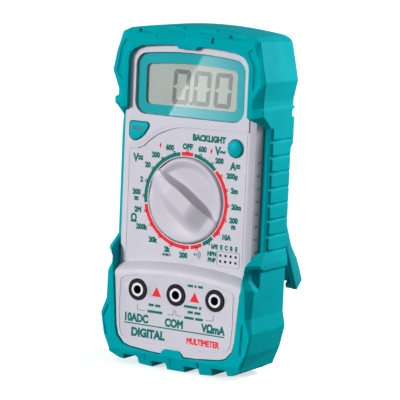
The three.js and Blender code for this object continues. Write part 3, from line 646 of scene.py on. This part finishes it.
def dial_symbols(teal, red):
    x, z = around_dial(23.3, 162)
    teal.disc(x - 1.6, z, 0.5, PANEL)
    for radius in (0.9, 1.7, 2.5):
        teal.line(arc(radius, 50, 130, 8, (x - 1.4, z)), 0.32, PANEL)
    for x in (-9.3, -7.5):
        teal.shape([(x - 0.8, -24.7), (x - 0.8, -23.1), (x + 0.7, -23.9)], PANEL)
        teal.shape([(x + 0.55, -24.7), (x + 0.85, -24.7), (x + 0.85, -23.1), (x + 0.55, -23.1)], PANEL)
    teal.line([(-11, -23.9), (-5.8, -23.9)], 0.25, PANEL)
    for x, z in ((11.5, 22), (-13.4, 22.2)):
        red.shape([(x - 0.55, z), (x + 0.1, z + 1.4), (x + 0.55, z), (x - 0.1, z - 1.4)], PANEL)


def jack_words(teal, red):
    for words, x in (("10ADC", -19.4), ("COM", -0.4), ("VΩmA", 18.7)):
        teal.text(words, x, -51.7, 3.4, JACK_PANEL, 0.84, 0.06)
    teal.line([(-25.1, -54.4), (24.2, -54.4)], 0.5, JACK_PANEL)
    teal.text("DIGITAL", -13.2, -57.8, 3.6, JACK_PANEL, 0.9, 0.06)
    red.text("MULTIMETER", 13.9, -58.1, 2.6, JACK_PANEL, 0.76, 0.05)
    for x in (-9.6, 9.1):
        red.shape([(x - 2.3, -41.5), (x + 2.3, -41.5), (x, -37.3)], JACK_PANEL)


def notice_bars(teal, grey):
    """Plain bars where small notices stand, and the brackets that join the jacks to them."""
    rows = [(9.3, -34.8, (2.6, 1.0, 2.4)), (-10.4, -45.4, (2.6, 2.6)), (-10.1, -48.2, (7.4,)),
            (8.4, -43.7, (6.6, 1.2)), (9.2, -46.0, (2.6, 3.0)), (9.1, -48.5, (4.6, 3.8))]
    for x, z, widths in rows:
        total = sum(widths) + 0.7 * (len(widths) - 1)
        left = x - total / 2
        for width in widths:
            teal.line([(left, z), (left + width, z)], 1.1, JACK_PANEL)
            left += width + 0.7
    brackets = [
        [(-18.9, -45.8), (-18.8, -48.2), (-15.2, -48.4)],
        [(-3.8, -48.4), (-1.0, -48.3), (-0.8, -45.9)],
        [(0.2, -45.9), (0.4, -48.2), (3.0, -48.3)],
        [(15.0, -48.3), (18.5, -48.2), (18.7, -45.8)],
    ]
    for path in brackets:
        for start, end in zip(path, path[1:]):
            grey.line([start, end], 0.28, JACK_PANEL)


def printing():
    teal, red, grey, light = Ink(), Ink(), Ink(), Ink()
    ring_marks(teal, red, light)
    dial_words(teal)
    dial_symbols(teal, red)
    jack_words(teal, red)
    notice_bars(teal, grey)
    frame_corners = [(16.5, -19.3), (27.2, -19.3), (27.2, -25.2), (16.5, -25.2), (16.5, -19.3)]
    for start, end in zip(frame_corners, frame_corners[1:]):
        grey.line([start, end], 0.2, PANEL)
    teal.piece("print_teal", PRINT_TEAL)
    red.piece("print_red", PRINT_RED)
    grey.piece("print_grey", PRINT_GREY)
    light.piece("print_light", PRINT_LIGHT)


# ---- Display ----

def digit(ink, centre, foot, width, height, stroke, level):
    """The figure 0 in six separate leaning bars, mitred inside and clipped at the outer corners."""
    left, right = centre - width / 2, centre + width / 2
    head, middle = foot + height, foot + height / 2
    gap, corner = 0.12, 0.75

    def bar(points):
        ink.shape([(x + 0.06 * (z - middle), z) for x, z in points], level)

    for near, inward in ((left, 1), (right, -1)):
        inner = near + inward * stroke
        for low, high in ((foot, middle), (middle, head)):
            start = low + gap + (corner if low == foot else 0)
            end = high - gap - (corner if high == head else 0)
            bar([(near, start), (near + inward * 0.5 * (low == foot), low + gap + 0.5 * (low == foot)),
                 (inner, low + gap + (stroke if low == foot else stroke / 2)),
                 (inner, high - gap - (stroke if high == head else stroke / 2)),
                 (near + inward * 0.5 * (high == head), high - gap - 0.5 * (high == head)), (near, end)])
    for edge, inward in ((foot, 1), (head, -1)):
        bar([(left + corner, edge), (right - corner, edge), (right - 0.5 - gap, edge + inward * 0.5),
             (right - stroke - gap, edge + inward * stroke), (left + stroke + gap, edge + inward * stroke),
             (left + 0.5 + gap, edge + inward * 0.5)])


def lcd_digits():
    level = (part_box("lcd_glass")[0].y - DIAL.y) / MM
    ink = Ink()
    for centre in (-5.4, 4.7, 14.9):
        digit(ink, centre, 40.0, 8.2, 14.6, 1.9, level)
    ink.disc(-0.35, 40.7, 0.8, level)
    ink.piece("lcd_digits", SEGMENT)


def key_words():
    low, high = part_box("hold_button")
    ink = Ink()
    middle = ((low + high) / 2 - DIAL) / MM
    ink.text("HOLD", middle.x - 0.4, middle.z + 1.4, 1.6, (low.y - DIAL.y) / MM + 0.01)
    ink.piece("hold_word", PRINT_DARK_TEAL, "hold_key")


# ---- CAD nodes that stay ----

def dress_nodes():
    for piece in NODES.values():
        slot = piece.data.materials[0].name
        piece.data.materials.clear()
        piece.data.materials.append(LOOKS[slot])


def jack_lips():
    """The bright front edge of each metal socket."""
    for node in ("jack_socket_10a", "jack_socket_com", "jack_socket_vohm"):
        low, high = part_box(node)
        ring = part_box(node.replace("socket", "insulator"))
        centre = ((ring[0] + ring[1]) / 2 - DIAL) / MM
        place = (centre.x, centre.z)
        ink = Ink()
        ink.shape(arc(2.75, 0, 360, 40, place) + arc(1.85, 0, 360, 40, place)[::-1], (low.y - DIAL.y) / MM, 0.05)
        ink.piece(node + "_lip", JACK_LIP)


def paint_bore_shade():
    """Painted shade inside the jack bores, which are too deep for light to reach: every face behind the front lip
    gets a dark colour.
    """
    for node in ("jack_socket_10a", "jack_socket_com", "jack_socket_vohm"):
        mesh = NODES[node].data
        low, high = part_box(node)
        mesh.materials.append(PAINTED_HOLE_SHADE)
        for polygon in mesh.polygons:
            if polygon.center.y - low.y > 0.4 * MM:
                polygon.material_index = 1


# ---- Floor, lights, camera ----

def quad_object(name, corners, material):
    piece = scene_object(name, mesh_from(name, corners, [[0, 1, 2, 3]]))
    piece.data.materials.append(material)
    return piece


def floor():
    material, _, shader = blank_material("floor")
    shader.inputs["Base Color"].default_value = (0.93, 0.93, 0.93, 1)
    shader.inputs["Roughness"].default_value = 0.9
    shader.inputs["Specular IOR Level"].default_value = 0.1
    shader.inputs["Emission Color"].default_value = (1, 1, 1, 1)
    shader.inputs["Emission Strength"].default_value = 0.6
    piece = quad_object("floor", [(-9, -3, 0), (9, -3, 0), (9, 12, 0), (-9, 12, 0)], material)
    piece.visible_diffuse = False
    piece.visible_glossy = False


def sun(name, azimuth, elevation, softness, strength):
    """A broad distant lamp, placed by its angle to the right of the front and above the floor."""
    data = bpy.data.lights.new(name, "SUN")
    data.energy = strength
    data.angle = math.radians(softness)
    lamp = scene_object(name, data)
    turn, rise = math.radians(azimuth), math.radians(elevation)
    towards = Vector((math.sin(turn) * math.cos(rise), -math.cos(turn) * math.cos(rise), math.sin(rise)))
    lamp.rotation_euler = towards.to_track_quat("Z", "Y").to_euler()
    return lamp


def near_lamp():
    """A soft round lamp up on the right, close enough for its light to fade down the side."""
    data = bpy.data.lights.new("near", "AREA")
    data.shape = "DISK"
    data.size = 0.12
    data.energy = 0.8
    lamp = scene_object("near", data)
    place = at(200, 190, 130)
    lamp.location = place
    lamp.rotation_euler = (place - at(35, 20, 30)).to_track_quat("Z", "Y").to_euler()


def studio():
    world = bpy.data.worlds.new("studio")
    bpy.context.scene.world = world
    world.use_nodes = True
    tree = world.node_tree
    coordinates = tree.nodes.new("ShaderNodeTexCoord")
    axes = tree.nodes.new("ShaderNodeSeparateXYZ")
    rise = tree.nodes.new("ShaderNodeMapRange")
    rise.inputs["From Min"].default_value = -0.5
    rise.inputs["From Max"].default_value = 0.9
    rise.inputs["To Min"].default_value = 0.2
    rise.inputs["To Max"].default_value = 0.32
    tree.links.new(coordinates.outputs["Generated"], axes.inputs["Vector"])
    tree.links.new(axes.outputs["Z"], rise.inputs["Value"])
    path = tree.nodes.new("ShaderNodeLightPath")
    seen = tree.nodes.new("ShaderNodeMath")
    seen.operation = "MAXIMUM"
    tree.links.new(rise.outputs["Result"], seen.inputs[0])
    tree.links.new(path.outputs["Is Camera Ray"], seen.inputs[1])
    tree.links.new(seen.outputs["Value"], tree.nodes["Background"].inputs["Strength"])
    tree.nodes["Background"].inputs["Color"].default_value = (1, 1, 1, 1)
    sun("key", -34, 11, 18, 2.75)
    sun("right", 135, 26, 30, 0.6)
    near_lamp()


def window_glint():
    """A small bright panel that the window mirrors as a slanting glint."""
    material, tree, shader = blank_material("glint_panel")
    emission = tree.nodes.new("ShaderNodeEmission")
    coordinates = tree.nodes.new("ShaderNodeTexCoord")
    axes = tree.nodes.new("ShaderNodeSeparateXYZ")
    fade = tree.nodes.new("ShaderNodeMapRange")
    fade.inputs["From Min"].default_value = at(-318, 0, 0).x
    fade.inputs["From Max"].default_value = at(-258, 0, 0).x
    fade.inputs["To Min"].default_value = 5
    fade.inputs["To Max"].default_value = 0.5
    tree.links.new(coordinates.outputs["Object"], axes.inputs["Vector"])
    tree.links.new(axes.outputs["X"], fade.inputs["Value"])
    tree.links.new(fade.outputs["Result"], emission.inputs["Strength"])
    tree.links.new(emission.outputs["Emission"], tree.nodes["Material Output"].inputs["Surface"])
    corners = [at(-330, -500, -45), at(-280, -500, 38), at(-235, -500, 38), at(-235, -500, -45)]
    panel = quad_object("glint_panel", corners, material)
    panel.visible_camera = False
    panel.visible_shadow = False
    panel.visible_diffuse = False


def camera():
    data = bpy.data.cameras.new("camera")
    data.lens = 205.57
    data.sensor_width = 36
    piece = scene_object("camera", data)
    right = Vector((0.8552, 0.5156, 0.0427)).normalized()
    up = Vector((-0.1075, 0.0964, 0.9891)).normalized()
    back = right.cross(up).normalized()
    up = back.cross(right)
    turn = Matrix((right, up, back)).transposed()
    piece.matrix_world = Matrix.Translation(at(489.65, -811.40, 132.59)) @ turn.to_4x4()
    data.clip_start, data.clip_end = 0.05, 60
    bpy.context.scene.camera = piece
    bpy.context.scene.view_settings.view_transform = "Standard"


dress_nodes()
holster_skin()
front_skin()
transistor_socket_skin()
paint_bore_shade()
jack_lips()
knob_skin()
knob_mark()
key_skins()
stand_skin()
printing()
lcd_digits()
key_words()
floor()
studio()
window_glint()
camera()
